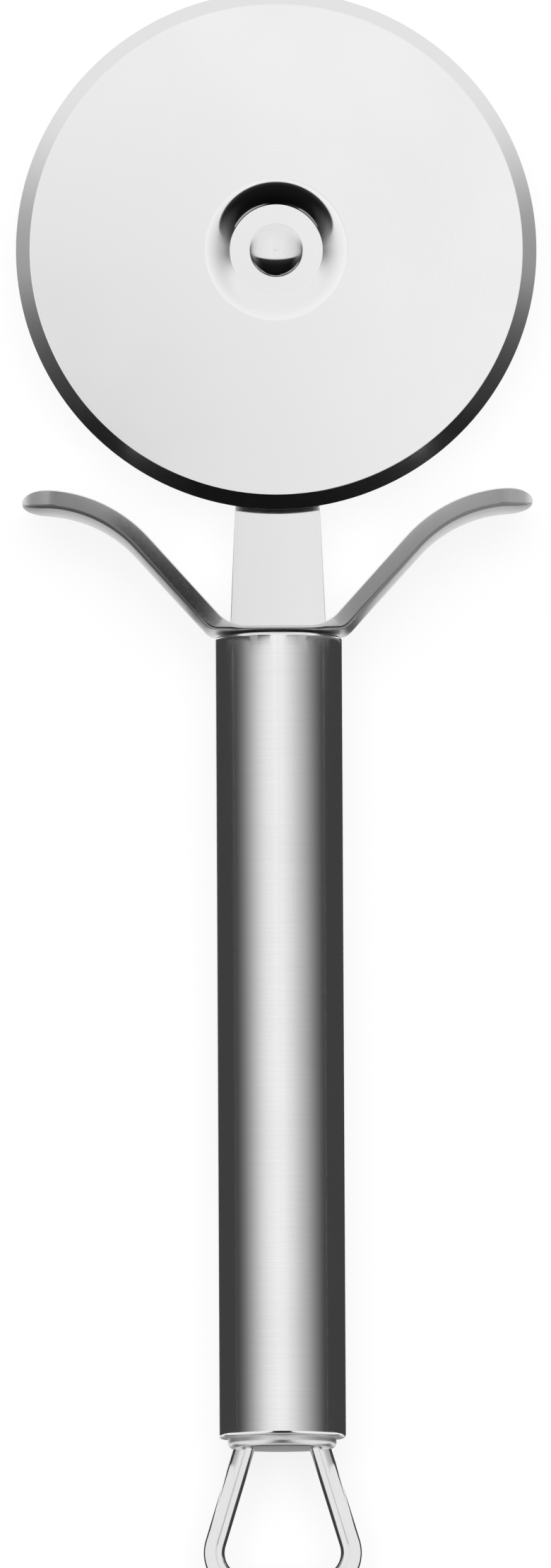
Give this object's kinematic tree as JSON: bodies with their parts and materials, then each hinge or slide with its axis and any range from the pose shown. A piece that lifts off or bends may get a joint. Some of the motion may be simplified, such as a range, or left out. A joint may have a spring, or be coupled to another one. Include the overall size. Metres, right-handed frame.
{
  "type": "pizza cutter",
  "caption": "All-steel pizza cutter: polished round wheel on a flat stem, curled finger guard, brushed tube handle and a wire hanging loop.",
  "frame": {"origin": "under the middle of the tool, on the surface that the handle lies on", "axes": "+Y along the handle towards the wheel, +Z out of the wheel's front face, +X to the right seen from the front"},
  "size_m": [0.075, 0.2312, 0.0184],
  "materials": {
    "wheel_steel": "mirror-polished stainless steel with a ground edge",
    "rivet_steel": "polished stainless steel",
    "spacer_nylon": "moulded nylon",
    "stem_steel": "mirror-polished stainless steel",
    "guard_steel": "polished stainless steel with a softer lustre on its edges",
    "plug_nylon": "moulded nylon",
    "pin_steel": "drawn steel",
    "handle_steel": "stainless steel brushed finely round the tube",
    "cap_steel": "polished stainless steel",
    "wire_steel": "polished stainless wire"
  },
  "bodies": {
    "handle": {"handle_tube": "handle_steel", "end_cap": "cap_steel", "hanging_loop": "wire_steel", "finger_guard": "guard_steel", "stem": "stem_steel", "tang_plug": "plug_nylon", "tang_pin": "pin_steel", "axle_rivet": "rivet_steel", "spacer_washer": "spacer_nylon", "rivet_burr": "rivet_steel"},
    "wheel": {"blade_wheel": "wheel_steel"}
  },
  "joints": [
    {"name": "wheel_spin", "type": "hinge", "parent": "handle", "child": "wheel", "pos_m": [0, 0.07815, 0.0115], "axis": [0, 0, 1], "continuous": true}
  ]
}
